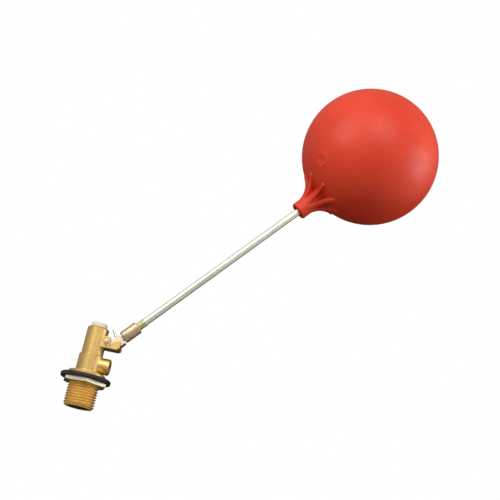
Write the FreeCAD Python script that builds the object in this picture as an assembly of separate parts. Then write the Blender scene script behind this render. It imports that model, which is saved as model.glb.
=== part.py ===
"""Float valve with a G 1/2 threaded tail, a side lever and a red plastic ball.

Millimetres. X runs along the inlet axis, from the tank wall into the tank.
Z is up and the outlet points down. The origin is the centre of the flange's seating face.
The float hangs at its lowest point, so the valve is fully open.
"""
import FreeCAD, Part
import math
import os
from FreeCAD import Vector

# --- threaded tail, flange, gasket and nut -------------------------------------------------
THREAD_MAJOR_R = 10.4775
THREAD_PITCH = 1.814
THREAD_DEPTH = 1.162
THREAD_FLANK_DEG = 27.5
THREAD_ROOT_FLAT = 0.25
TAIL_LENGTH = 21.5
TAIL_CHAMFER = 1.3
TAIL_BORE_R = 6.5
RELIEF_LENGTH = 2.2
FLANGE_R = 12.7
FLANGE_THICK = 2.5
FLANGE_CHAMFER = 0.5
GASKET_R = 17.25
GASKET_THICK = 3.0
GASKET_EDGE_R = 1.0
NUT_FLATS = 27.5
NUT_THICK = 2.5
NUT_TURN_DEG = 15.0
NUT_THREAD_GAP = 0.06

# --- body and barrel -----------------------------------------------------------------------
LOWER_R = 8.4
FLANGE_ROOT = 1.0
LOWER_TOP = 15.1
SHOULDER_SLOPE = 0.6
BARREL_R = 7.5
BARREL_TOP = 34.5
BARREL_CHAMFER = 1.0
BORE_R = 5.5
BORE_FLOOR = 0.0
NOZZLE_HOLE_R = 4.5
OUTLET_X = 8.9
OUTLET_R = 5.6
OUTLET_BORE_R = 4.0
OUTLET_END = 14.1
OUTLET_CHAMFER = 0.5

# --- lug -----------------------------------------------------------------------------------
LUG_HALF_WIDTH = 6.0
LUG_SLOT_HALF = 3.2
LUG_SLOT_FLOOR = 22.0
SLOT_TOP = 33.3
LUG_EDGE_R = 0.35
LUG_OUTLINE = (
    (21.0, -3.0), (21.0, -16.6), (22.2, -18.3), (27.3, -17.6), (27.8, -17.0),
    (24.5, -10.9), (28.4, -10.7), (28.9, -10.2), (28.9, -3.0),
)

# --- piston --------------------------------------------------------------------------------
STROKE = 4.79
PISTON_GAP = 0.06
PISTON_END = 37.8
PISTON_NECK_TOP = 14.2
PISTON_NECK_R = 3.8
PISTON_CHAMFER = 0.6
RING_CENTRE = 20.4
RING_SECTION_R = 0.75
RING_GROOVE_WIDTH = 1.8
NOSE_SLOT_HALF_WIDTH = 2.3
NOSE_SLOT_TOP = 1.0
NOSE_SLOT_FLARE = -3.3

# --- seat ----------------------------------------------------------------------------------
SEAT_LIP = 3.0
SEAT_LIP_R = 2.6
SEAT_BORE_R = 2.0
NOZZLE_FOOT = -4.0
NOZZLE_SHOULDER = 1.4
WASHER_R = 3.0
WASHER_THICK = 2.4
WASHER_PROUD = 0.4
CLOSED_GAP = 0.05
PISTON_NOSE = SEAT_LIP + WASHER_PROUD + STROKE + CLOSED_GAP

# --- lever ---------------------------------------------------------------------------------
PIVOT_X = 25.0
PIVOT_Z = -8.8
ARM_DEG = 40.73
ARM_HALF_WIDTH = 2.95
ARM_TOP = 2.8
ARM_BOTTOM = -4.4
ARM_END = -7.0
ARM_EDGE_R = 0.5
TONGUE_HALF_HEIGHT = 1.4
TONGUE_HALF_WIDTH = 2.0
TONGUE_END = -1.4
PIVOT_BOSS_R = 2.6
NOSE_X = 4.0
NOSE_Z = 6.0
NOSE_R = 1.8
NOSE_HALF_WIDTH = 1.9
NECK_HALF = 1.3
FIT_GAP = 0.06

# --- coupler -------------------------------------------------------------------------------
COUPLER_X = 35.8
COUPLER_Z = -22.2
COUPLER_R = 4.4
COUPLER_LENGTH = 12.4
COUPLER_CHAMFER = 0.4
MOUTH_R = 3.4
MOUTH_DEPTH = 3.2
TONGUE_HOLE_R = 2.5
ROD_END = -0.5

# --- split pins ----------------------------------------------------------------------------
PIVOT_PIN_R = 1.0
COUPLER_PIN_R = 0.8
COUPLER_PIN_S = -4.5
LEG_GAP = 0.06
PIVOT_EYE_R = 1.6
COUPLER_EYE_R = 1.25
LONG_LEG = ((27.6, 9.0, -11.6), (31.5, 8.9, -11.9), (37.3, 8.6, -8.4))

# --- rod -----------------------------------------------------------------------------------
ROD_R = 2.55
ROD_THREAD_R = 3.0
ROD_THREAD_PITCH = 1.0
ROD_THREAD_DEPTH = 0.55
ROD_THREAD_OUT = 6.2
ROD_BEND_S = 144.0
MOUTH_S = 147.4
ROD_BEND_DEG = 1.23

# --- ball ----------------------------------------------------------------------------------
BALL_R = 50.0
BALL_WALL = 1.6
SOCKET_REACH = 68.9
SOCKET_R = 6.4
SOCKET_HOLE_R = 4.2
SOCKET_INNER = 40.0
INSERT_OUTER = 65.5
INSERT_INNER = 51.0
SOCKET_HOLE_END = 46.0
SOCKET_FILLET = 3.0
RIB_COUNT = 8
RIB_THICK = 2.6
RIB_EDGE = (
    (62.0, 6.4), (57.6, 7.6), (54.8, 9.4), (52.7, 11.4), (50.6, 14.0), (49.0, 16.5), (47.4, 19.4),
)
RIB_BASE = ((45.7, 19.3), (48.8, 5.3), (62.0, 5.3))
MARK_R = 4.2
MARK_PROUD = 0.35
MARK_POLAR_DEG = 38.0
MARK_TURN_DEG = 23.2

X_AXIS = Vector(1, 0, 0)
Y_AXIS = Vector(0, 1, 0)
Z_AXIS = Vector(0, 0, 1)


def deg(angle):
    """Degrees as radians."""
    return math.radians(angle)


ARM_DIR = Vector(math.cos(deg(ARM_DEG)), 0, -math.sin(deg(ARM_DEG)))
ARM_UP = Vector(math.sin(deg(ARM_DEG)), 0, math.cos(deg(ARM_DEG)))
ARM_ORIGIN = Vector(COUPLER_X, 0, COUPLER_Z)
PIVOT = Vector(PIVOT_X, 0, PIVOT_Z)
BALL_DEG = ARM_DEG - ROD_BEND_DEG
BALL_DIR = Vector(math.cos(deg(BALL_DEG)), 0, -math.sin(deg(BALL_DEG)))
SOCKET_MOUTH = (
    ARM_ORIGIN
    + ARM_DIR * ROD_BEND_S
    + BALL_DIR * (MOUTH_S - ROD_BEND_S)
)
BALL_CENTRE = SOCKET_MOUTH + BALL_DIR * SOCKET_REACH


def on_arm(s, t, y=0.0):
    """A point s along the arm from the coupler's middle, t above its axis."""
    return ARM_ORIGIN + ARM_DIR * s + ARM_UP * t + Vector(0, y, 0)


def rod_x(radius, x0, x1):
    """A round bar along the inlet axis."""
    return Part.makeCylinder(radius, x1 - x0, Vector(x0, 0, 0), X_AXIS)


def bar(radius, start, direction, length):
    """A round bar from a point along a direction."""
    return Part.makeCylinder(radius, length, start, direction)


def turned_x(profile):
    """Revolve a closed outline of (x, radius) points about the inlet axis."""
    points = [Vector(x, 0, r) for x, r in profile]
    wire = Part.makePolygon(points + points[:1])
    return Part.Face(wire).revolve(Vector(), X_AXIS, 360)


def plate(points, half_width, y0=None):
    """A flat piece with an outline in the XZ plane, from -half_width to half_width in Y."""
    low = -half_width if y0 is None else y0
    wire = Part.makePolygon([p + Vector(0, low, 0) for p in points + points[:1]])
    return Part.Face(wire).extrude(Vector(0, half_width - low, 0))


def xz(pairs):
    """Points of the XZ plane."""
    return [Vector(x, 0, z) for x, z in pairs]


def place_along(shape, start, direction):
    """Move a shape modelled along Z so that it starts at a point and runs along a direction."""
    turn = FreeCAD.Rotation(Z_AXIS, direction)
    made = shape.copy()
    made.Placement = FreeCAD.Placement(start, turn)
    return made


def screw_groove(radius, pitch, depth, flank_deg, root_flat, length):
    """The cutting solid of a screw thread along Z, open at the outside."""
    over = 0.15
    root = radius - depth
    half_out = root_flat / 2 + (depth + over) * math.tan(deg(flank_deg))
    outline = [
        Vector(root, 0, -root_flat / 2),
        Vector(radius + over, 0, -half_out),
        Vector(radius + over, 0, half_out),
        Vector(root, 0, root_flat / 2),
    ]
    wire = Part.makePolygon(outline + outline[:1])
    helix = Part.makeHelix(pitch, length, radius)
    return Part.Wire(helix).makePipeShell([wire], True, True)


def make_valve_body():
    """The brass casting: tail, flange, lower body, barrel, outlet and lug."""
    outside = turned_x([
        (-TAIL_LENGTH, 0),
        (-TAIL_LENGTH, THREAD_MAJOR_R - TAIL_CHAMFER),
        (-TAIL_LENGTH + TAIL_CHAMFER, THREAD_MAJOR_R),
        (0, THREAD_MAJOR_R),
        (0, FLANGE_R),
        (FLANGE_THICK - FLANGE_CHAMFER, FLANGE_R),
        (FLANGE_THICK, FLANGE_R - FLANGE_CHAMFER),
        (FLANGE_THICK, LOWER_R + FLANGE_ROOT),
        (FLANGE_THICK + 0.3 * FLANGE_ROOT, LOWER_R + 0.3 * FLANGE_ROOT),
        (FLANGE_THICK + FLANGE_ROOT, LOWER_R),
        (LOWER_TOP - SHOULDER_SLOPE, LOWER_R),
        (LOWER_TOP, BARREL_R),
        (BARREL_TOP - BARREL_CHAMFER, BARREL_R),
        (BARREL_TOP, BARREL_R - BARREL_CHAMFER),
        (BARREL_TOP, 0),
    ])
    spout = bar(OUTLET_R, Vector(OUTLET_X, 0, 0), -Z_AXIS, OUTLET_END)
    spout = spout.makeChamfer(OUTLET_CHAMFER, end_edges(spout, -OUTLET_END))
    lug = plate(xz(LUG_OUTLINE), LUG_HALF_WIDTH)
    lug = lug.makeFillet(LUG_EDGE_R, outer_edges(lug, -BARREL_R - 1.0))
    body = outside.fuse([spout, lug])
    cuts = [
        rod_x(TAIL_BORE_R, -TAIL_LENGTH, NOZZLE_FOOT),
        rod_x(NOZZLE_HOLE_R, NOZZLE_FOOT, BORE_FLOOR),
        rod_x(BORE_R, BORE_FLOOR, BARREL_TOP),
        bar(OUTLET_BORE_R, Vector(OUTLET_X, 0, 0), -Z_AXIS, OUTLET_END),
        lever_slot(),
        bar(PIVOT_PIN_R + FIT_GAP, PIVOT - Y_AXIS * 10, Y_AXIS, 20),
    ]
    body = body.cut(cuts)
    groove = screw_groove(
        THREAD_MAJOR_R,
        THREAD_PITCH,
        THREAD_DEPTH,
        THREAD_FLANK_DEG,
        THREAD_ROOT_FLAT,
        TAIL_LENGTH - RELIEF_LENGTH + THREAD_PITCH,
    )
    groove = place_along(groove, Vector(-TAIL_LENGTH - 0.7 * THREAD_PITCH, 0, 0), X_AXIS)
    return body.cut(groove)


def outer_edges(shape, z):
    """The edges that lie wholly below a level."""
    return [e for e in shape.Edges if e.BoundBox.ZMax < z]


def end_edges(shape, z):
    """The edges that lie in one level plane."""
    flat = 0.001
    return [
        e for e in shape.Edges
        if abs(e.BoundBox.ZMin - z) < flat and abs(e.BoundBox.ZMax - z) < flat
    ]


def lever_slot():
    """The slot through the lug and the barrel's wall that the lever moves in."""
    out = min(z for _, z in LUG_OUTLINE) - 1
    return Part.makeBox(
        SLOT_TOP - LUG_SLOT_FLOOR,
        2 * LUG_SLOT_HALF,
        -out,
        Vector(LUG_SLOT_FLOOR, -LUG_SLOT_HALF, out),
    )


def make_seat_nozzle():
    """The nozzle whose raised lip the seat washer closes."""
    outer = NOZZLE_HOLE_R - 0.02
    return turned_x([
        (NOZZLE_FOOT, SEAT_BORE_R + 0.8),
        (NOZZLE_FOOT, outer),
        (NOZZLE_SHOULDER, outer),
        (NOZZLE_SHOULDER, SEAT_LIP_R + 0.9),
        (SEAT_LIP, SEAT_LIP_R),
        (SEAT_LIP, SEAT_BORE_R),
        (NOZZLE_FOOT + 2, SEAT_BORE_R),
    ])


def make_piston():
    """The plastic piston, with the slot for the lever's nose and the recess for the washer."""
    radius = BORE_R - PISTON_GAP
    ring_low = RING_CENTRE - RING_GROOVE_WIDTH / 2
    ring_high = RING_CENTRE + RING_GROOVE_WIDTH / 2
    groove_r = BORE_R - 2 * RING_SECTION_R - 0.08
    piston = turned_x([
        (PISTON_NOSE, 0),
        (PISTON_NOSE, PISTON_NECK_R - 0.3),
        (PISTON_NOSE + 0.3, PISTON_NECK_R),
        (PISTON_NECK_TOP, PISTON_NECK_R),
        (PISTON_NECK_TOP + 0.5, radius),
        (ring_low, radius),
        (ring_low, groove_r),
        (ring_high, groove_r),
        (ring_high, radius),
        (PISTON_END - PISTON_CHAMFER, radius),
        (PISTON_END, radius - PISTON_CHAMFER),
        (PISTON_END, 0),
    ])
    middle = PIVOT_X + NOSE_X
    mouth = -BORE_R - 1
    nose_slot = plate(xz([
        (middle - 2.25, NOSE_SLOT_TOP),
        (middle + 2.35, NOSE_SLOT_TOP),
        (middle + 2.35, mouth),
        (middle - 3.4, mouth),
        (middle - 3.4, NOSE_SLOT_FLARE - 1.0),
        (middle - 2.25, NOSE_SLOT_FLARE),
    ]), NOSE_SLOT_HALF_WIDTH)
    recess = rod_x(WASHER_R + 0.03, PISTON_NOSE, PISTON_NOSE + WASHER_THICK - WASHER_PROUD)
    return piston.cut([nose_slot, recess])


def make_seat_washer():
    """The rubber disc in the piston's nose."""
    face = PISTON_NOSE - WASHER_PROUD
    return rod_x(WASHER_R, face, face + WASHER_THICK - 0.02)


def make_piston_seal_ring():
    """The O-ring in the piston's groove."""
    middle_r = BORE_R - RING_SECTION_R - 0.02
    return Part.makeTorus(middle_r, RING_SECTION_R, Vector(RING_CENTRE, 0, 0), X_AXIS)


def make_mounting_gasket():
    """The rubber ring that seals on the tank wall."""
    ring = rod_x(GASKET_R, -GASKET_THICK, 0)
    ring = ring.makeFillet(GASKET_EDGE_R, [e for e in ring.Edges if len(e.Vertexes) == 1])
    return ring.cut(rod_x(THREAD_MAJOR_R + 0.05, -GASKET_THICK, 0))


def make_lock_nut():
    """The thin hexagon nut, chamfered where its corners meet the two faces."""
    corner_r = NUT_FLATS / math.sqrt(3)
    back = -GASKET_THICK - NUT_THICK
    corners = []
    for k in range(6):
        turn = deg(-90 + NUT_TURN_DEG + 60 * k)
        corners.append(Vector(back, corner_r * math.sin(turn), -corner_r * math.cos(turn)))
    blank = Part.Face(Part.makePolygon(corners + corners[:1])).extrude(X_AXIS * NUT_THICK)
    slope = 0.45
    cone = turned_x([
        (back, 0),
        (back, corner_r - 1.1),
        (back + slope, corner_r + 0.1),
        (back + NUT_THICK - slope, corner_r + 0.1),
        (back + NUT_THICK, corner_r - 1.1),
        (back + NUT_THICK, 0),
    ])
    hole = turned_x([
        (back, 0),
        (back, THREAD_MAJOR_R + 0.6),
        (back + 0.5, THREAD_MAJOR_R + NUT_THREAD_GAP),
        (back + NUT_THICK, THREAD_MAJOR_R + NUT_THREAD_GAP),
        (back + NUT_THICK, 0),
    ])
    return blank.common(cone).cut(hole)


def make_lever():
    """The bell crank: pivot boss, nose that works in the piston, arm and flat tongue."""
    nose_at = PIVOT + Vector(NOSE_X, 0, NOSE_Z)
    nose = bar(NOSE_R, nose_at - Y_AXIS * NOSE_HALF_WIDTH, Y_AXIS, 2 * NOSE_HALF_WIDTH)
    along = nose_at - PIVOT
    across = Vector(-along.z, 0, along.x).normalize() * NECK_HALF
    neck = plate(
        [PIVOT - across, PIVOT + across, nose_at + across, nose_at - across],
        NOSE_HALF_WIDTH,
    )
    boss = bar(PIVOT_BOSS_R, PIVOT - Y_AXIS * ARM_HALF_WIDTH, Y_AXIS, 2 * ARM_HALF_WIDTH)
    pivot_s = (PIVOT - ARM_ORIGIN).dot(ARM_DIR)
    pivot_t = (PIVOT - ARM_ORIGIN).dot(ARM_UP)
    outline = [
        on_arm(pivot_s - 0.8, pivot_t - PIVOT_BOSS_R * 0.9),
        on_arm(pivot_s + 3.1, ARM_BOTTOM),
        on_arm(ARM_END, ARM_BOTTOM),
        on_arm(ARM_END, ARM_TOP),
        on_arm(pivot_s + 5.0, ARM_TOP),
        on_arm(pivot_s + 1.6, pivot_t + PIVOT_BOSS_R * 0.7),
    ]
    arm = plate(outline, ARM_HALF_WIDTH)
    far_end = ARM_ORIGIN + ARM_DIR * ARM_END
    edges = [e for e in arm.Edges if (e.CenterOfMass - far_end).dot(ARM_DIR) > -0.01]
    arm = arm.makeFillet(ARM_EDGE_R, edges)
    tongue = plate(
        [
            on_arm(ARM_END - 1.0, TONGUE_HALF_HEIGHT),
            on_arm(TONGUE_END, TONGUE_HALF_HEIGHT),
            on_arm(TONGUE_END, -TONGUE_HALF_HEIGHT),
            on_arm(ARM_END - 1.0, -TONGUE_HALF_HEIGHT),
        ],
        TONGUE_HALF_WIDTH,
    )
    pin_hole = bar(PIVOT_PIN_R + FIT_GAP, PIVOT - Y_AXIS * 5, Y_AXIS, 10)
    cross_hole = bar(COUPLER_PIN_R + 0.05, on_arm(COUPLER_PIN_S, 0, -5), Y_AXIS, 10)
    lever = arm.fuse([boss, neck, nose, tongue])
    return lever.cut([pin_hole, cross_hole]).removeSplitter()


def make_rod_coupler():
    """The round coupler: wide mouth and hole for the tongue, and a hole for the rod."""
    half = COUPLER_LENGTH / 2
    body = bar(COUPLER_R, on_arm(-half, 0), ARM_DIR, COUPLER_LENGTH)
    body = body.makeChamfer(COUPLER_CHAMFER, [e for e in body.Edges if len(e.Vertexes) == 1])
    mouth = bar(MOUTH_R, on_arm(-half, 0), ARM_DIR, MOUTH_DEPTH)
    tongue_hole = bar(TONGUE_HOLE_R, on_arm(-half, 0), ARM_DIR, half)
    rod_hole = bar(ROD_THREAD_R + 0.03, on_arm(ROD_END - 0.2, 0), ARM_DIR, COUPLER_LENGTH)
    cross_hole = bar(COUPLER_PIN_R + 0.05, on_arm(COUPLER_PIN_S, 0, -8), Y_AXIS, 16)
    return body.cut([mouth, tongue_hole, rod_hole, cross_hole])


def half_leg(radius, path, side, normal):
    """One half-round leg of a split pin, swept along a path. Its flat faces the other leg."""
    start = path[0]
    run = (path[1] - start).normalize()
    centre = start + side * LEG_GAP / 2
    flat = radius - LEG_GAP / 2
    arc = Part.Arc(centre - normal * flat, centre + side * flat, centre + normal * flat)
    profile = Part.Wire([
        arc.toShape(),
        Part.makeLine(centre + normal * flat, centre - normal * flat),
    ])
    spine = Part.makePolygon([p + (centre - start) for p in path])
    return spine.makePipeShell([profile], True, False, 2)


def make_split_pin(radius, start, run, side, shank, legs, eye):
    """A split pin: an eye behind the start, two half-round legs along run, bent at their ends.

    legs holds, for each leg, the points its bent end goes through after the shank.
    """
    normal = run.cross(side).normalize()
    pieces = []
    for sign, bent in zip((1, -1), legs):
        path = [start, start + run * shank] + bent
        pieces.append(half_leg(radius, path, side * sign, normal))
    wire_r = radius * 0.55
    ring = Part.makeTorus(eye, wire_r, start - run * (eye + wire_r + 0.1), normal)
    collar = bar(radius * 1.06, start - run * 0.5, run, 0.55)
    return pieces[0].fuse([pieces[1], ring, collar]).removeSplitter()


def make_pivot_split_pin():
    """The split pin through the two ears of the lug, with one leg bent up by the barrel."""
    start = Vector(PIVOT_X, -LUG_HALF_WIDTH - 0.1, PIVOT_Z)
    shank = 2 * LUG_HALF_WIDTH + 1.6
    end = start + Y_AXIS * shank
    side = Vector(0.55, 0, -0.83).normalize()
    long_leg = [Vector(*point) for point in LONG_LEG]
    short_leg = [end - side * 0.5 + Y_AXIS * 0.9, end - side * 2.6 + Y_AXIS * 1.7]
    legs = (long_leg, short_leg)
    return make_split_pin(PIVOT_PIN_R, start, Y_AXIS, side, shank, legs, PIVOT_EYE_R)


def make_coupler_split_pin():
    """The split pin through the coupler and the lever's tongue."""
    start = on_arm(COUPLER_PIN_S, 0, -COUPLER_R - 0.1)
    shank = 2 * COUPLER_R + 0.8
    end = start + Y_AXIS * shank
    outer_leg = [end + ARM_DIR * 0.5 + Y_AXIS * 0.4, end + ARM_DIR * 3.0 + Y_AXIS * 0.6]
    inner_leg = [end - ARM_DIR * 0.5 + Y_AXIS * 0.4, end - ARM_DIR * 2.2 + Y_AXIS * 0.6]
    legs = (outer_leg, inner_leg)
    return make_split_pin(COUPLER_PIN_R, start, Y_AXIS, ARM_DIR, shank, legs, COUPLER_EYE_R)


def threaded_end(radius, pitch, depth, length):
    """A threaded stud along Z with a bevelled far end. Its thread is a row of V grooves."""
    bevel = 0.6
    half = depth * math.tan(deg(30.0))
    profile = [(0.0, 0.0), (radius, 0.0)]
    for k in range(int((length - bevel) / pitch - 0.5)):
        middle = pitch * (k + 0.7)
        profile += [(radius, middle - half), (radius - depth, middle), (radius, middle + half)]
    profile += [(radius, length - bevel), (radius - bevel, length), (0.0, length)]
    points = [Vector(r, 0, z) for r, z in profile]
    return Part.Face(Part.makePolygon(points + points[:1])).revolve(Vector(), Z_AXIS, 360)


def make_float_rod():
    """The steel rod: rolled thread at both ends and a slight bend just before the ball."""
    half = COUPLER_LENGTH / 2
    first_start = ROD_END
    first_end = half + ROD_THREAD_OUT
    stud = threaded_end(
        ROD_THREAD_R, ROD_THREAD_PITCH, ROD_THREAD_DEPTH, first_end - first_start)
    stud = place_along(stud, on_arm(first_end, 0), -ARM_DIR)
    bend = on_arm(ROD_BEND_S, 0)
    shank = bar(ROD_R, on_arm(first_end - 0.5, 0), ARM_DIR, ROD_BEND_S - first_end + 0.5)
    elbow = Part.makeSphere(ROD_R, bend)
    thread_start = SOCKET_REACH - INSERT_OUTER - 0.5
    tail_length = MOUTH_S - ROD_BEND_S + thread_start
    tail = bar(ROD_R, bend, BALL_DIR, tail_length)
    far_length = INSERT_OUTER - INSERT_INNER + 1.0
    far = threaded_end(ROD_THREAD_R, ROD_THREAD_PITCH, ROD_THREAD_DEPTH, far_length)
    far = place_along(far, SOCKET_MOUTH + BALL_DIR * thread_start, BALL_DIR)
    return shank.fuse([stud, elbow, tail, far]).removeSplitter()


def axial(distance, radial=0.0, turn_deg=0.0):
    """A point given from the ball's centre: distance towards the socket, radius and turn."""
    side = BALL_DIR.cross(Y_AXIS).normalize()
    out = -Y_AXIS * math.cos(deg(turn_deg)) + side * math.sin(deg(turn_deg))
    return BALL_CENTRE - BALL_DIR * distance + out * radial


def make_rib(turn_deg):
    """One gusset between the socket and the ball, with a hollow edge and a blunt tip."""
    edge = Part.BSplineCurve()
    edge.interpolate([axial(a, r, turn_deg) for a, r in RIB_EDGE])
    corners = [axial(a, r, turn_deg) for a, r in RIB_EDGE[-1:] + RIB_BASE + RIB_EDGE[:1]]
    wire = Part.Wire([edge.toShape()] + Part.makePolygon(corners).Edges)
    across = (axial(50, 10, turn_deg) - axial(50, 0, turn_deg)).cross(BALL_DIR).normalize()
    rib = Part.Face(wire).extrude(across * RIB_THICK)
    rib.translate(across * (-RIB_THICK / 2))
    return rib


def on_sphere(radius, polar_deg):
    """A point of the outline of a sphere about the ball's centre."""
    return axial(radius * math.cos(deg(polar_deg)), radius * math.sin(deg(polar_deg)))


def make_ball_shell():
    """The hollow ball and its socket, turned about the socket's axis."""
    inside_r = BALL_R - BALL_WALL
    bend = BALL_R + SOCKET_FILLET
    bend_a = math.sqrt(bend ** 2 - (SOCKET_R + SOCKET_FILLET) ** 2)
    bend_deg = math.degrees(math.asin((SOCKET_R + SOCKET_FILLET) / bend))
    middle = (90.0 + bend_deg) / 2
    fillet_mid = axial(
        bend_a - SOCKET_FILLET * math.cos(deg(middle)),
        SOCKET_R + SOCKET_FILLET - SOCKET_FILLET * math.sin(deg(middle)),
    )
    inside_a = math.sqrt(inside_r ** 2 - SOCKET_R ** 2)
    edge = 0.5
    outline = Part.makePolygon([
        axial(SOCKET_HOLE_END, SOCKET_HOLE_R),
        axial(SOCKET_REACH, SOCKET_HOLE_R),
        axial(SOCKET_REACH, SOCKET_R - edge),
        axial(SOCKET_REACH - edge, SOCKET_R),
        axial(bend_a, SOCKET_R),
    ]).Edges
    outline.append(Part.Arc(
        axial(bend_a, SOCKET_R), fillet_mid, on_sphere(BALL_R, bend_deg)).toShape())
    outline.append(Part.Arc(
        on_sphere(BALL_R, bend_deg), on_sphere(BALL_R, 90.0), on_sphere(BALL_R, 180.0)).toShape())
    outline.append(Part.makeLine(on_sphere(BALL_R, 180.0), on_sphere(inside_r, 180.0)))
    outline.append(Part.Arc(
        on_sphere(inside_r, 180.0), on_sphere(inside_r, 90.0),
        axial(inside_a, SOCKET_R)).toShape())
    outline += Part.makePolygon([
        axial(inside_a, SOCKET_R),
        axial(SOCKET_INNER, SOCKET_R),
        axial(SOCKET_INNER),
        axial(SOCKET_HOLE_END),
        axial(SOCKET_HOLE_END, SOCKET_HOLE_R),
    ]).Edges
    return Part.Face(Part.Wire(outline)).revolve(BALL_CENTRE, BALL_DIR, 360)


def make_float_ball():
    """The hollow ball with its socket, the gussets round it and a round moulding mark."""
    ribs = [make_rib(360.0 * k / RIB_COUNT) for k in range(RIB_COUNT)]
    mark_end = axial(
        (BALL_R + MARK_PROUD) * math.cos(deg(MARK_POLAR_DEG)),
        (BALL_R + MARK_PROUD) * math.sin(deg(MARK_POLAR_DEG)),
        MARK_TURN_DEG,
    )
    inward = (BALL_CENTRE - mark_end).normalize()
    mark = bar(MARK_R, mark_end, inward, BALL_WALL)
    return make_ball_shell().fuse([mark] + ribs)


def make_float_insert():
    """The brass threaded insert in the socket."""
    length = INSERT_OUTER - INSERT_INNER
    insert = bar(SOCKET_HOLE_R - 0.02, axial(INSERT_OUTER), BALL_DIR, length)
    return insert.cut(bar(ROD_THREAD_R + 0.03, axial(INSERT_OUTER), BALL_DIR, length))


NODES = {
    "valve_body": make_valve_body,
    "seat_nozzle": make_seat_nozzle,
    "piston": make_piston,
    "seat_washer": make_seat_washer,
    "piston_seal_ring": make_piston_seal_ring,
    "mounting_gasket": make_mounting_gasket,
    "lock_nut": make_lock_nut,
    "lever": make_lever,
    "pivot_split_pin": make_pivot_split_pin,
    "rod_coupler": make_rod_coupler,
    "coupler_split_pin": make_coupler_split_pin,
    "float_rod": make_float_rod,
    "float_ball": make_float_ball,
    "float_insert": make_float_insert,
}


def main():
    """Write every piece to its own STEP file."""
    os.makedirs("parts", exist_ok=True)
    for name, make in NODES.items():
        shape = make()
        shape.exportStep(os.path.join("parts", name + ".step"))
        print(name, "valid", shape.isValid(), "solids", len(shape.Solids),
              "volume", round(shape.Volume, 1))


main()
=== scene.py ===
"""Looks for the float valve: materials, the moulded ball, lights, floor and camera.

Metres, in the CAD frame: X is the inlet axis, Z is up, the float hangs on the -Z side.
Dimensions named without a unit are in millimetres and are multiplied by MM where they are used.
"""
import math

import bmesh
import bpy
from mathutils import Matrix, Vector


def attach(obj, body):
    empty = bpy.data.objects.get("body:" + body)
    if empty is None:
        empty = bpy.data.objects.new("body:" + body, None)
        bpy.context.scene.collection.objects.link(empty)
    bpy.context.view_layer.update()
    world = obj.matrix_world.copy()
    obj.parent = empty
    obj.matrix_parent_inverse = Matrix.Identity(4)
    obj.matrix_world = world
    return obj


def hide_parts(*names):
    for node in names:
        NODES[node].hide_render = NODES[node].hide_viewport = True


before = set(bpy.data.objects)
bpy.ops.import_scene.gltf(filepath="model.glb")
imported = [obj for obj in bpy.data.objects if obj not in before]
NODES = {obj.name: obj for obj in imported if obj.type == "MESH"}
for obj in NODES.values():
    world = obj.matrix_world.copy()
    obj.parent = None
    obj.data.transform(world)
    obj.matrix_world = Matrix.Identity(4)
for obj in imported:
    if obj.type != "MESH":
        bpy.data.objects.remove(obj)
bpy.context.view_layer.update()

MM = 0.001
FULL_TURN = 2 * math.pi

# --- the ball's place, as in the CAD model -------------------------------------------------
ARM_DEG = 40.73
ROD_BEND_DEG = 1.23
COUPLER = Vector((35.8, 0.0, -22.2)) * MM
ROD_BEND_S = 144.0 * MM
MOUTH_S = 147.4 * MM
SOCKET_REACH = 68.9
BALL_R = 50.0
THREAD_END = 12.4 * MM


def down_along(angle_deg):
    """The direction in the XZ plane that falls below +X by an angle."""
    angle = math.radians(angle_deg)
    return Vector((math.cos(angle), 0.0, -math.sin(angle)))


ARM_DIR = down_along(ARM_DEG)
BALL_DIR = down_along(ARM_DEG - ROD_BEND_DEG)
SOCKET_MOUTH = COUPLER + ARM_DIR * ROD_BEND_S + BALL_DIR * (MOUTH_S - ROD_BEND_S)
BALL_CENTRE = SOCKET_MOUTH + BALL_DIR * (SOCKET_REACH * MM)
BALL_AXES = Matrix((
    -BALL_DIR,
    Vector((0.0, -1.0, 0.0)),
    BALL_DIR.cross(Vector((0.0, 1.0, 0.0))).normalized(),
)).transposed()
ALONG_ROD = (0.0, -math.radians(ARM_DEG), 0.0)
ALONG_INLET = (0.0, 0.0, 0.0)

# --- colours -------------------------------------------------------------------------------
CAST_LIGHT = (0.74, 0.50, 0.185)
CAST_DEEP = (0.66, 0.43, 0.145)
CAST_WORN = (0.90, 0.68, 0.34)
TAIL_THREAD = (0.86, 0.58, 0.18)
# Painted shade: the dark colour put in the tail's bore.
TAIL_BORE_SHADE = (0.10, 0.055, 0.018)
LEVER_LIGHT = (0.82, 0.68, 0.50)
LEVER_DEEP = (0.72, 0.56, 0.38)
# Painted highlight: the bright spot round the lever's pivot.
LEVER_PAINTED_HIGHLIGHT = (0.98, 0.95, 0.84)
COUPLER_LIGHT = (0.66, 0.50, 0.29)
COUPLER_DEEP = (0.55, 0.40, 0.22)
NUT_LIGHT = (0.98, 0.92, 0.68)
NUT_DEEP = (0.92, 0.83, 0.55)
TURNED_WORN = (0.97, 0.80, 0.50)
RUBBER_BLACK = (0.008, 0.007, 0.011)
RUBBER_DUST = (0.024, 0.021, 0.028)
NYLON_LIGHT = (0.70, 0.68, 0.53)
NYLON_DEEP = (0.64, 0.61, 0.45)
PIN_LIGHT = (0.88, 0.87, 0.82)
PIN_DEEP = (0.66, 0.65, 0.60)
ROD_LIGHT = (0.94, 0.91, 0.73)
ROD_DEEP = (0.86, 0.84, 0.68)
ROD_STAIN = (0.36, 0.34, 0.22)
ROD_THREAD = (0.66, 0.62, 0.36)
RED_LIGHT = (0.60, 0.036, 0.006)
RED_DEEP = (0.54, 0.028, 0.005)
RED_SCUFF = (0.66, 0.10, 0.055)
FLOOR_LIGHT = (0.86, 0.86, 0.86)
FLOOR_DEEP = (0.83, 0.83, 0.83)
NYLON_SCATTER = (1.0, 0.9, 0.7)
RED_SCATTER = (1.0, 0.25, 0.1)

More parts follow.
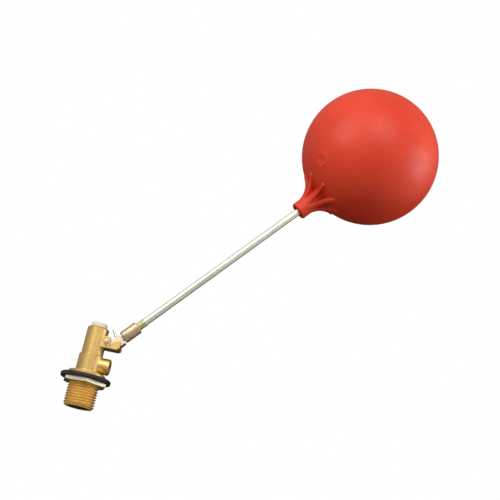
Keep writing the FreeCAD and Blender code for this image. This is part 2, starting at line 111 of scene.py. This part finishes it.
# --- places that change colour -------------------------------------------------------------
TAIL_FROM_X = -5.0 * MM
TAIL_FULL_X = -5.8 * MM
# The painted shade in the tail's bore fades in between these distances from the inlet axis.
TAIL_BORE_FROM = 7.2 * MM
TAIL_BORE_FULL = 6.6 * MM
# Where the painted highlight round the lever's pivot lies, and the distances over which it fades
# out.
HUB = (26.8 * MM, -3.0 * MM, -10.4 * MM)
HUB_HIGHLIGHT_FROM = 3.4 * MM
HUB_HIGHLIGHT_FULL = 2.4 * MM
THREAD_BLUR = 0.4 * MM

# --- surface relief ------------------------------------------------------------------------
BEVEL_SAMPLES = 6
CAST_EDGE = 0.4 * MM
TURNED_EDGE = 0.22 * MM
RUBBER_EDGE = 0.4 * MM
NYLON_EDGE = 0.3 * MM
EDGE_FLAT = 0.99
EDGE_SHARP = 0.82
TOOL_MARK = 0.03 * MM
FINE_GRAIN = 0.04 * MM
MOULD_GRAIN = 0.08 * MM
CAST_WAVE = 0.12 * MM
MOULD_WAVE = 1.0 * MM
NOISE_BAND = (0.3, 0.7)


# --- node helpers --------------------------------------------------------------------------
class Paint:
    """A material under construction, with short ways to add and link nodes."""

    def __init__(self, name):
        self.material = bpy.data.materials.new(name)
        self.material.use_nodes = True
        self.tree = self.material.node_tree
        self.tree.nodes.clear()
        self.out = self.tree.nodes.new("ShaderNodeOutputMaterial")
        self.shader = self.tree.nodes.new("ShaderNodeBsdfPrincipled")
        self.link(self.shader.outputs["BSDF"], self.out.inputs["Surface"])
        coordinates = self.tree.nodes.new("ShaderNodeTexCoord")
        self.place = coordinates.outputs["Object"]

    def link(self, a, b):
        self.tree.links.new(a, b)

    def set(self, **values):
        """Set sockets of the shader, given by their names with _ for a space."""
        for key, value in values.items():
            self.shader.inputs[key.replace("_", " ")].default_value = value

    def node(self, kind, **options):
        made = self.tree.nodes.new("ShaderNode" + kind)
        for key, value in options.items():
            setattr(made, key, value)
        return made

    def stretched(self, scale, turn=ALONG_INLET):
        """The object's coordinates, turned and scaled."""
        made = self.node("Mapping")
        made.inputs["Scale"].default_value = scale
        made.inputs["Rotation"].default_value = turn
        self.link(self.place, made.inputs["Vector"])
        return made.outputs["Vector"]

    def noise(self, scale, detail, rough, source=None, distort=0.0):
        made = self.node("TexNoise")
        made.inputs["Scale"].default_value = scale
        made.inputs["Detail"].default_value = detail
        made.inputs["Roughness"].default_value = rough
        made.inputs["Distortion"].default_value = distort
        self.link(source or self.place, made.inputs["Vector"])
        return made.outputs["Fac"]

    def ramp(self, value, low, high, out_low=0.0, out_high=1.0):
        """Map a value from low..high to out_low..out_high, clamped and smooth."""
        made = self.node("MapRange", interpolation_type="SMOOTHSTEP")
        for key, number in (("From Min", low), ("From Max", high),
                            ("To Min", out_low), ("To Max", out_high)):
            made.inputs[key].default_value = number
        self.link(value, made.inputs["Value"])
        return made.outputs["Result"]

    def spread(self, noise, out_low, out_high):
        """Map the usual range of a noise to out_low..out_high."""
        return self.ramp(noise, *NOISE_BAND, out_low, out_high)

    def math(self, operation, a, b):
        made = self.node("Math", operation=operation)
        for socket, value in zip(made.inputs, (a, b)):
            if isinstance(value, (int, float)):
                socket.default_value = value
            else:
                self.link(value, socket)
        return made.outputs["Value"]

    def shift(self, value, mask, amount):
        """A value plus an amount where the mask is 1."""
        return self.math("ADD", value, self.math("MULTIPLY", mask, amount))

    def mix(self, mask, a, b):
        """Blend two colours by a mask. Each is a colour or a socket."""
        made = self.node("Mix", data_type="RGBA")
        self.link(mask, made.inputs["Factor"])
        for socket, value in ((made.inputs[6], a), (made.inputs[7], b)):
            if isinstance(value, tuple):
                socket.default_value = (*value, 1.0)
            else:
                self.link(value, socket)
        return made.outputs[2]

    def tint(self, colour, mask, share, over):
        """Cover a colour with another by a share where the mask is 1."""
        return self.mix(self.math("MULTIPLY", mask, share), colour, over)

    def along_inlet(self):
        """The coordinate along the inlet axis."""
        made = self.node("SeparateXYZ")
        self.link(self.place, made.inputs["Vector"])
        return made.outputs["X"]

    def off_axis(self):
        """The distance from the inlet axis."""
        made = self.node("VectorMath", operation="LENGTH")
        flat = self.node("VectorMath", operation="MULTIPLY")
        flat.inputs[1].default_value = (0.0, 1.0, 1.0)
        self.link(self.place, flat.inputs[0])
        self.link(flat.outputs["Vector"], made.inputs[0])
        return made.outputs["Value"]

    def away_from(self, centre):
        """The distance from a point."""
        made = self.node("VectorMath", operation="DISTANCE")
        made.inputs[1].default_value = centre
        self.link(self.place, made.inputs[0])
        return made.outputs["Value"]

    def soft_normal(self, radius):
        """A normal that rounds sharp edges over a radius."""
        bevel = self.node("Bevel", samples=BEVEL_SAMPLES)
        bevel.inputs["Radius"].default_value = radius
        return bevel.outputs["Normal"]

    def edges(self, radius):
        """1 on sharp edges and 0 on flats."""
        plain = self.node("NewGeometry")
        dot = self.node("VectorMath", operation="DOT_PRODUCT")
        self.link(self.soft_normal(radius), dot.inputs[0])
        self.link(plain.outputs["Normal"], dot.inputs[1])
        return self.ramp(dot.outputs["Value"], EDGE_FLAT, EDGE_SHARP)

    def bump(self, height, strength, distance, below=None):
        """A normal raised by a height map, on top of another normal if one is given."""
        made = self.node("Bump")
        made.inputs["Strength"].default_value = strength
        made.inputs["Distance"].default_value = distance
        self.link(height, made.inputs["Height"])
        if below is not None:
            self.link(below, made.inputs["Normal"])
        return made.outputs["Normal"]

    def finish(self, colour, rough=None, normal=None):
        """Connect the shader's colour, roughness and normal, and give the material."""
        self.link(colour, self.shader.inputs["Base Color"])
        if rough is not None:
            self.link(rough, self.shader.inputs["Roughness"])
        if normal is not None:
            self.link(normal, self.shader.inputs["Normal"])
        return self.material


def darker(colour, share):
    return tuple(part * share for part in colour)


# --- materials -----------------------------------------------------------------------------
def brass(name, light, deep, roughness, grain, has_tail=False, has_hub=False):
    """Satin brass: uneven tarnish, faint casting grain and worn edges.

    has_tail deepens the hue on the tail's thread and paints shade in the tail's bore.
    has_hub adds a painted highlight, a bright spot round the lever's pivot.
    """
    p = Paint(name)
    p.set(Metallic=1.0)
    tarnish = p.ramp(p.noise(scale=90.0, detail=3.0, rough=0.6), low=0.35, high=0.7)
    colour = p.mix(tarnish, light, deep)
    spots = p.noise(scale=420.0, detail=4.0, rough=0.7, distort=0.4)
    spots = p.ramp(spots, low=0.58, high=0.76)
    colour = p.tint(colour, spots, 0.22, darker(deep, 0.62))
    worn = p.edges(CAST_EDGE)
    fine = p.noise(scale=900.0, detail=5.0, rough=0.6)
    rough = p.spread(fine, roughness - 0.05, roughness + 0.07)
    pores = p.noise(scale=2200.0, detail=3.0, rough=0.6)
    normal = p.bump(pores, grain, FINE_GRAIN, p.soft_normal(CAST_EDGE * 0.3))
    waves = p.noise(scale=240.0, detail=3.0, rough=0.5)
    normal = p.bump(waves, grain, CAST_WAVE, normal)
    if has_tail:
        tail = p.ramp(p.along_inlet(), TAIL_FROM_X, TAIL_FULL_X)
        colour = p.tint(colour, tail, 0.9, TAIL_THREAD)
        worn = p.math("MULTIPLY", worn, p.math("SUBTRACT", 1.0, tail))
        # Painted shade in the bore of the tail.
        bore_shade = p.ramp(p.off_axis(), TAIL_BORE_FROM, TAIL_BORE_FULL)
        colour = p.tint(colour, tail, bore_shade, TAIL_BORE_SHADE)
        rough = p.shift(rough, tail, 0.12)
    if has_hub:
        # Painted highlight round the lever's pivot; the roughness there also drops a little.
        hub_highlight = p.ramp(p.away_from(HUB), HUB_HIGHLIGHT_FROM, HUB_HIGHLIGHT_FULL)
        colour = p.tint(colour, hub_highlight, 0.85, LEVER_PAINTED_HIGHLIGHT)
        rough = p.shift(rough, hub_highlight, -0.06)
    colour = p.tint(colour, worn, 0.35, CAST_WORN)
    rough = p.shift(rough, worn, -0.08)
    return p.finish(colour, rough, normal)


def turned_brass(name, axis_turn, light, deep, roughness):
    """Machined brass: fine rings round the turning axis, slight tarnish."""
    p = Paint(name)
    p.set(Metallic=1.0)
    rings = p.stretched((5200.0, 60.0, 60.0), turn=axis_turn)
    marks = p.noise(scale=1.0, detail=3.0, rough=0.6, source=rings)
    stain = p.noise(scale=230.0, detail=4.0, rough=0.6, distort=0.3)
    colour = p.mix(p.ramp(stain, low=0.4, high=0.75), light, deep)
    grooves = p.ramp(marks, low=0.35, high=0.75, out_high=0.35)
    colour = p.mix(grooves, colour, darker(deep, 0.55))
    colour = p.tint(colour, p.edges(TURNED_EDGE), 0.5, TURNED_WORN)
    rough = p.spread(marks, roughness - 0.06, roughness + 0.10)
    normal = p.bump(marks, 0.35, FINE_GRAIN, p.soft_normal(TURNED_EDGE))
    return p.finish(colour, rough, normal)


def rubber(name):
    """Black moulded rubber with a dusty bloom and a faint grain."""
    p = Paint(name)
    p.set(Specular_IOR_Level=0.45)
    dust = p.ramp(p.noise(scale=160.0, detail=5.0, rough=0.65), low=0.45, high=0.8)
    colour = p.mix(dust, RUBBER_BLACK, RUBBER_DUST)
    rough = p.spread(p.noise(scale=700.0, detail=4.0, rough=0.6), 0.42, 0.62)
    pores = p.noise(scale=1800.0, detail=3.0, rough=0.6)
    normal = p.bump(pores, 0.35, MOULD_GRAIN, p.soft_normal(RUBBER_EDGE))
    return p.finish(colour, rough, normal)


def nylon(name):
    """Natural white nylon, slightly translucent, with turning marks."""
    p = Paint(name)
    p.set(Subsurface_Weight=0.25, Subsurface_Scale=0.002, IOR=1.5)
    p.set(Subsurface_Radius=NYLON_SCATTER)
    rings = p.stretched((3800.0, 40.0, 40.0))
    marks = p.noise(scale=1.0, detail=3.0, rough=0.6, source=rings)
    shade = p.ramp(p.noise(scale=200.0, detail=3.0, rough=0.6), low=0.35, high=0.75)
    colour = p.mix(shade, NYLON_LIGHT, NYLON_DEEP)
    rough = p.spread(marks, 0.34, 0.50)
    normal = p.bump(marks, 0.12, TOOL_MARK, p.soft_normal(NYLON_EDGE))
    return p.finish(colour, rough, normal)


def pin_steel(name):
    """Zinc-plated split pin wire: dull patches and a fine grain."""
    p = Paint(name)
    p.set(Metallic=0.55)
    patches = p.ramp(p.noise(scale=500.0, detail=4.0, rough=0.65), low=0.4, high=0.75)
    colour = p.mix(patches, PIN_LIGHT, PIN_DEEP)
    rough = p.spread(p.noise(scale=1500.0, detail=4.0, rough=0.6), 0.34, 0.52)
    normal = p.bump(p.noise(scale=2500.0, detail=3.0, rough=0.6), 0.25, FINE_GRAIN)
    return p.finish(colour, rough, normal)


def rod_steel(name):
    """Yellow-zinc plated rod: drawn lines along it, a faint change of hue, olive threads."""
    p = Paint(name)
    p.set(Metallic=1.0)
    drawn = p.stretched((60.0, 1400.0, 1400.0), turn=ALONG_ROD)
    lines = p.noise(scale=1.0, detail=4.0, rough=0.6, source=drawn)
    hue = p.noise(scale=45.0, detail=3.0, rough=0.6, distort=0.5)
    colour = p.mix(p.ramp(hue, low=0.35, high=0.7), ROD_LIGHT, ROD_DEEP)
    stain = p.noise(scale=240.0, detail=5.0, rough=0.7)
    colour = p.mix(p.ramp(stain, low=0.58, high=0.80, out_high=0.35), colour, ROD_STAIN)
    thread_middle = COUPLER + ARM_DIR * THREAD_END / 2
    thread = p.ramp(
        p.away_from(thread_middle), THREAD_END / 2 + THREAD_BLUR, THREAD_END / 2 - THREAD_BLUR)
    colour = p.tint(colour, thread, 0.8, ROD_THREAD)
    rough = p.shift(p.spread(lines, 0.24, 0.36), thread, 0.18)
    normal = p.bump(lines, 0.15, TOOL_MARK)
    return p.finish(colour, rough, normal)


def red_plastic(name):
    """Semi-gloss red moulded plastic: slow waves of the moulding, fine grain, light scuffs."""
    p = Paint(name)
    p.set(IOR=1.46, Specular_IOR_Level=0.42, Subsurface_Weight=0.05, Subsurface_Scale=0.003)
    p.set(Subsurface_Radius=RED_SCATTER)
    cloud = p.ramp(p.noise(scale=38.0, detail=4.0, rough=0.55), low=0.3, high=0.72)
    colour = p.mix(cloud, RED_LIGHT, RED_DEEP)
    scuff = p.noise(scale=260.0, detail=6.0, rough=0.75, distort=0.6)
    colour = p.mix(p.ramp(scuff, low=0.62, high=0.78, out_high=0.22), colour, RED_SCUFF)
    rough = p.noise(scale=150.0, detail=5.0, rough=0.65)
    rough = p.ramp(rough, low=0.3, high=0.75, out_low=0.44, out_high=0.56)
    normal = p.bump(p.noise(scale=28.0, detail=2.0, rough=0.5), 0.25, MOULD_WAVE)
    pores = p.noise(scale=1300.0, detail=3.0, rough=0.6)
    normal = p.bump(pores, 0.18, MOULD_GRAIN, normal)
    return p.finish(colour, rough, normal)


def floor_paint(name):
    """Pale matt floor with a faint mottling."""
    p = Paint(name)
    p.set(Roughness=0.85)
    shade = p.ramp(p.noise(scale=6.0, detail=4.0, rough=0.6), low=0.3, high=0.75)
    return p.finish(p.mix(shade, FLOOR_LIGHT, FLOOR_DEEP))


def dress(node_name, material):
    """Give a CAD node its material."""
    mesh = NODES[node_name].data
    mesh.materials.clear()
    mesh.materials.append(material)


def add_object(name, data):
    """A new object in the scene."""
    made = bpy.data.objects.new(name, data)
    bpy.context.scene.collection.objects.link(made)
    return made


# --- the ball, in its own axes: A towards the rod, profiles as (along A, from A) -------------
RIBS = 8
SOCKET_R = 6.4
SOCKET_SIDE_END = 65.5
SOCKET_HOLE_R = 4.2
SOCKET_HOLE_FLOOR = 50.0
SOCKET_HOLE_MIDDLE = 60.0
# The socket's rounded rim, from its hole to its outside, measured along A from the mouth.
SOCKET_RIM = (
    (-0.7, SOCKET_HOLE_R), (-0.25, 4.35), (0.0, 4.75), (0.0, 5.2),
    (0.0, 5.75), (-0.12, 6.1), (-0.4, 6.33), (-0.8, SOCKET_R))
NECK_FILLET = 3.2
RIB_START = 62.0
RIB_END = (47.9, 18.2)
RIB_MIDDLE = (52.7, 11.4)
RIB_FLAT = 1.45
RIB_FLAT_TIP = 1.05
RIB_FLANK = 0.55
RIB_DROP = math.radians(1.4)
MARK_POLAR = math.radians(38.0)
MARK_TURN = math.radians(23.2)
MARK_RIM_HEIGHT = 0.22
MARK_RIM_R = 4.6
MARK_RIM_WIDTH = 0.9
MARK_DEPTH = 0.45
MARK_FLAT_R = 1.2
MARK_WALL = 3.0
NUB_POLAR = math.radians(37.0)
NUB_TURN = math.radians(17.5)
NUB_HEIGHT = 0.55
NUB_WIDTH = 1.0

COLUMNS = 560
NECK_STEPS = 46
ARC_STEPS = 12
RIB_ARC_STEPS = 40
TIP_STEP = math.radians(0.2)
MARK_STEP = math.radians(0.5)
PLAIN_STEP = math.radians(1.5)
TIP_BAND = RIB_DROP * 1.3
MARK_BAND = (math.radians(31), math.radians(46))
POLE_GAP = 0.02
SHORTEST = 1e-9


def ball_direction(polar, turn):
    """A unit vector from the ball's centre, in the ball's own axes."""
    return Vector((
        math.cos(polar), math.sin(polar) * math.cos(turn), math.sin(polar) * math.sin(turn)))


def on_circle(centre, radius, start, sweep, count):
    """The count + 1 points of an arc, from the start angle through the sweep."""
    angles = [start + sweep * k / count for k in range(count + 1)]
    return [
        (centre[0] + radius * math.cos(angle), centre[1] + radius * math.sin(angle))
        for angle in angles
    ]


def arc_through(a, b, c, count):
    """Points on the circle through three 2D points, from a to c."""
    ax, ay = a
    bx, by = b
    cx, cy = c
    d = 2 * (ax * (by - cy) + bx * (cy - ay) + cx * (ay - by))
    ux = ((ax * ax + ay * ay) * (by - cy) + (bx * bx + by * by) * (cy - ay)
          + (cx * cx + cy * cy) * (ay - by)) / d
    uy = ((ax * ax + ay * ay) * (cx - bx) + (bx * bx + by * by) * (ax - cx)
          + (cx * cx + cy * cy) * (bx - ax)) / d
    start = math.atan2(ay - uy, ax - ux)
    end = math.atan2(cy - uy, cx - ux)
    sweep = (end - start + math.pi) % FULL_TURN - math.pi
    return on_circle((ux, uy), math.hypot(ax - ux, ay - uy), start, sweep, count)


def even_steps(points, count):
    """The polyline resampled to count equal steps."""
    lengths = [0.0]
    for p, q in zip(points, points[1:]):
        lengths.append(lengths[-1] + math.dist(p, q))
    out = []
    k = 0
    for step in range(count + 1):
        want = lengths[-1] * step / count
        while k < len(points) - 2 and lengths[k + 1] < want:
            k += 1
        share = (want - lengths[k]) / max(lengths[k + 1] - lengths[k], SHORTEST)
        p, q = points[k], points[k + 1]
        out.append((p[0] + (q[0] - p[0]) * share, p[1] + (q[1] - p[1]) * share))
    return out


def smooth_step(x):
    """0 below 0 and 1 above 1, with a smooth rise between them."""
    x = min(max(x, 0.0), 1.0)
    return x * x * (3 - 2 * x)


def bell(x):
    """1 at 0, falling smoothly to 0 on both sides."""
    return math.exp(-x ** 2)


def polar_of(point):
    return math.atan2(point[1], point[0])


def ball_profiles():
    """The neck's outline between ribs and on a rib, from the socket to the ball."""
    start = (RIB_START, SOCKET_R)
    side = SOCKET_R + NECK_FILLET
    centre = (math.sqrt((BALL_R + NECK_FILLET) ** 2 - side ** 2), side)
    share = BALL_R / (BALL_R + NECK_FILLET)
    touch = (centre[0] * share, centre[1] * share)
    low = math.atan2(touch[1] - centre[1], touch[0] - centre[0])
    bend = on_circle(centre, NECK_FILLET, -math.pi / 2, low + math.pi / 2, ARC_STEPS)
    sweep = polar_of(RIB_END) - polar_of(touch)
    on_ball = on_circle((0.0, 0.0), BALL_R, polar_of(touch), sweep, ARC_STEPS)[1:]
    plain = even_steps([start] + bend + on_ball, NECK_STEPS)
    ribbed = even_steps(arc_through(start, RIB_MIDDLE, RIB_END, RIB_ARC_STEPS), NECK_STEPS)
    return plain, ribbed


def shell_rows(first):
    """Polar angles of the ball's rings: close at the ribs' tips and the mark, wide elsewhere."""
    rows = []
    polar = first
    while polar < math.pi - POLE_GAP:
        if polar < first + TIP_BAND:
            polar += TIP_STEP
        elif MARK_BAND[0] < polar < MARK_BAND[1]:
            polar += MARK_STEP
        else:
            polar += PLAIN_STEP
        rows.append(polar)
    return rows


def rib_share(turn, radius, flat):
    """1 on a rib's flat crest, falling to 0 over its flank."""
    step = FULL_TURN / RIBS
    off = (turn + step / 2) % step - step / 2
    return 1.0 - smooth_step((abs(math.sin(off)) * radius - flat) / RIB_FLANK)


def build_ball():
    """The hollow ball's outside: socket with its hole, ribs and the round moulding mark."""
    plain, ribbed = ball_profiles()
    first = polar_of(RIB_END)
    tip_height = math.hypot(*RIB_END) - BALL_R
    mark_dir = ball_direction(MARK_POLAR, MARK_TURN)
    nub_dir = ball_direction(NUB_POLAR, NUB_TURN)
    verts = []
    faces = []

    def add_ring(profile_at):
        for c in range(COLUMNS):
            turn = FULL_TURN * c / COLUMNS
            a, rho = profile_at(turn)
            verts.append((a, rho * math.cos(turn), rho * math.sin(turn)))

    def neck(turn, k):
        (plain_a, plain_r), (rib_a, rib_r) = plain[k], ribbed[k]
        flat = RIB_FLAT + (RIB_FLAT_TIP - RIB_FLAT) * k / NECK_STEPS
        share = rib_share(turn, rib_r, flat)
        return plain_a + (rib_a - plain_a) * share, plain_r + (rib_r - plain_r) * share

    def shell(turn, polar):
        direction = ball_direction(polar, turn)
        from_mark = direction.angle(mark_dir) * BALL_R
        from_nub = direction.angle(nub_dir) * BALL_R
        rim = MARK_RIM_HEIGHT * bell((from_mark - MARK_RIM_R) / MARK_RIM_WIDTH)
        dish = -MARK_DEPTH * (1 - smooth_step((from_mark - MARK_FLAT_R) / MARK_WALL))
        nub = NUB_HEIGHT * bell(from_nub / NUB_WIDTH)
        tip = tip_height * (1 - smooth_step((polar - first) / RIB_DROP))
        radius = BALL_R + rim + dish + nub + tip * rib_share(turn, RIB_END[1], RIB_FLAT_TIP)
        return radius * math.cos(polar), radius * math.sin(polar)

    hole = [(SOCKET_HOLE_FLOOR, SOCKET_HOLE_R), (SOCKET_HOLE_MIDDLE, SOCKET_HOLE_R)]
    rim = [(SOCKET_REACH + along, radius) for along, radius in SOCKET_RIM]
    for point in hole + rim + [(SOCKET_SIDE_END, SOCKET_R)]:
        add_ring(lambda turn: point)
    for k in range(NECK_STEPS + 1):
        add_ring(lambda turn: neck(turn, k))
    for polar in shell_rows(first):
        add_ring(lambda turn: shell(turn, polar))

    last = len(verts) - COLUMNS
    for row in range(0, last, COLUMNS):
        for c in range(COLUMNS):
            n = (c + 1) % COLUMNS
            faces.append((row + c, row + n, row + COLUMNS + n, row + COLUMNS + c))
    pole = len(verts)
    verts.append((-BALL_R, 0.0, 0.0))
    for c in range(COLUMNS):
        faces.append((last + c, last + (c + 1) % COLUMNS, pole))

    mesh = bpy.data.meshes.new("float_ball_skin")
    mesh.from_pydata([Vector(v) * MM for v in verts], [], faces)
    mesh.transform(Matrix.Translation(BALL_CENTRE) @ BALL_AXES.to_4x4())
    mesh.update()
    tidy = bmesh.new()
    tidy.from_mesh(mesh)
    bmesh.ops.recalc_face_normals(tidy, faces=tidy.faces)
    tidy.to_mesh(mesh)
    tidy.free()
    mesh.shade_smooth()
    return add_object("float_ball_skin", mesh)


# --- dressing ------------------------------------------------------------------------------
CAST = brass("brass_body", CAST_LIGHT, CAST_DEEP, roughness=0.42, grain=0.16, has_tail=True)
ARM = brass("brass_lever", LEVER_LIGHT, LEVER_DEEP, roughness=0.38, grain=0.14, has_hub=True)
COUPLER_BRASS = turned_brass(
    "brass_coupler", ALONG_ROD, COUPLER_LIGHT, COUPLER_DEEP, roughness=0.46)
NUT_BRASS = turned_brass("brass_nut", ALONG_INLET, NUT_LIGHT, NUT_DEEP, roughness=0.30)
RUBBER = rubber("rubber_gasket")
NYLON = nylon("nylon_piston")
PIN = pin_steel("steel_split_pin")
ROD = rod_steel("steel_yellow_zinc")
RED = red_plastic("red_plastic")

dress("valve_body", CAST)
dress("seat_nozzle", NUT_BRASS)
dress("piston", NYLON)
dress("seat_washer", RUBBER)
dress("piston_seal_ring", RUBBER)
dress("mounting_gasket", RUBBER)
dress("lock_nut", NUT_BRASS)
dress("lever", ARM)
dress("pivot_split_pin", PIN)
dress("rod_coupler", COUPLER_BRASS)
dress("coupler_split_pin", PIN)
dress("float_rod", ROD)
dress("float_ball", RED)
dress("float_insert", COUPLER_BRASS)

ball = build_ball()
ball.data.materials.append(RED)
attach(ball, "float_arm")
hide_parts("float_ball")

# --- floor ---------------------------------------------------------------------------------
FLOOR_Z = -0.45
FLOOR_HALF = 4.0
FLOOR_BACK = 0.2
FLOOR_CORNERS = [
    (-FLOOR_HALF, -FLOOR_HALF, FLOOR_Z), (FLOOR_HALF, -FLOOR_HALF, FLOOR_Z),
    (FLOOR_HALF, FLOOR_BACK, FLOOR_Z), (-FLOOR_HALF, FLOOR_BACK, FLOOR_Z)]
floor_mesh = bpy.data.meshes.new("floor")
floor_mesh.from_pydata(FLOOR_CORNERS, [], [(0, 1, 2, 3)])
floor_mesh.materials.append(floor_paint("floor_pale"))
floor = add_object("floor", floor_mesh)

# --- lights --------------------------------------------------------------------------------
# Name, place, the point it faces, side in metres and power in watts.
MIDDLE = (0.11, 0.0, -0.08)
BALL_SIDE = (0.2, 0.0, -0.16)
SOFT_BOXES = (
    ("key_box", (0.75, -0.55, 0.10), MIDDLE, 0.9, 2.0),
    ("front_box", (0.344, -0.416, -0.232), MIDDLE, 0.16, 0.8),
    ("float_box", (0.198, -0.043, -0.44), BALL_SIDE, 0.14, 0.4),
    ("rear_box", (0.281, -0.306, 0.149), MIDDLE, 0.14, 0.7),
)
for name, place, target, side, power in SOFT_BOXES:
    light = bpy.data.lights.new(name, "AREA")
    light.shape = "SQUARE"
    light.size = side
    light.energy = power
    lamp = add_object(name, light)
    lamp.location = place
    lamp.rotation_euler = (Vector(target) - Vector(place)).to_track_quat("-Z", "Y").to_euler()

# --- surroundings: a grey dome, brightest towards BRIGHT_SIDE, with a white backdrop ----------
BRIGHT_SIDE = (0.38, -0.87, 0.31)
# The dome's grey from its dark side, 0, to its bright side, 1.
DOME_GREYS = (
    (0.0, 0.015), (0.08, 0.03), (0.25, 0.14), (0.40, 0.38), (0.55, 0.47), (0.75, 0.50),
    (1.0, 0.66))
WHITE = (1.0, 1.0, 1.0, 1.0)


def grey(value):
    return (value, value, value, 1.0)


world = bpy.data.worlds.new("studio")
bpy.context.scene.world = world
world.use_nodes = True
nodes = world.node_tree.nodes
links = world.node_tree.links
nodes.clear()
world_out = nodes.new("ShaderNodeOutputWorld")
either = nodes.new("ShaderNodeMixShader")
backdrop = nodes.new("ShaderNodeBackground")
dome = nodes.new("ShaderNodeBackground")
ray = nodes.new("ShaderNodeLightPath")
direction = nodes.new("ShaderNodeTexCoord")
facing = nodes.new("ShaderNodeVectorMath")
facing.operation = "DOT_PRODUCT"
facing.inputs[1].default_value = BRIGHT_SIDE
share = nodes.new("ShaderNodeMapRange")
share.inputs["From Min"].default_value = -1.0
share.inputs["From Max"].default_value = 1.0
shades = nodes.new("ShaderNodeValToRGB")
greys = shades.color_ramp.elements
for element, (position, value) in zip(greys, (DOME_GREYS[0], DOME_GREYS[-1])):
    element.position = position
    element.color = grey(value)
for position, value in DOME_GREYS[1:-1]:
    greys.new(position).color = grey(value)
backdrop.inputs["Color"].default_value = WHITE
links.new(direction.outputs["Generated"], facing.inputs[0])
links.new(facing.outputs["Value"], share.inputs["Value"])
links.new(share.outputs["Result"], shades.inputs["Fac"])
links.new(shades.outputs["Color"], dome.inputs["Color"])
links.new(ray.outputs["Is Camera Ray"], either.inputs["Fac"])
links.new(dome.outputs["Background"], either.inputs[1])
links.new(backdrop.outputs["Background"], either.inputs[2])
links.new(either.outputs["Shader"], world_out.inputs["Surface"])

# --- camera --------------------------------------------------------------------------------
CAMERA_AT = Vector((-0.10231, -0.62895, -0.12808))
CAMERA_RIGHT = Vector((0.20231, -0.01016, -0.97927))
CAMERA_UP = Vector((0.92498, -0.32648, 0.19448))
CAMERA_LOOK = Vector((0.32169, 0.94515, 0.05665))
SENSOR_WIDTH = 36.0
LENS = 67.38
CLIP_START = 0.01
camera_data = bpy.data.cameras.new("camera")
camera_data.sensor_width = SENSOR_WIDTH
camera_data.lens = LENS
camera_data.clip_start = CLIP_START
camera = add_object("camera", camera_data)
camera_axes = Matrix((CAMERA_RIGHT, CAMERA_UP, -CAMERA_LOOK)).transposed()
camera.matrix_world = Matrix.Translation(CAMERA_AT) @ camera_axes.to_4x4()
bpy.context.scene.camera = camera

view = bpy.context.scene.view_settings
view.view_transform = "Standard"
view.look = "None"
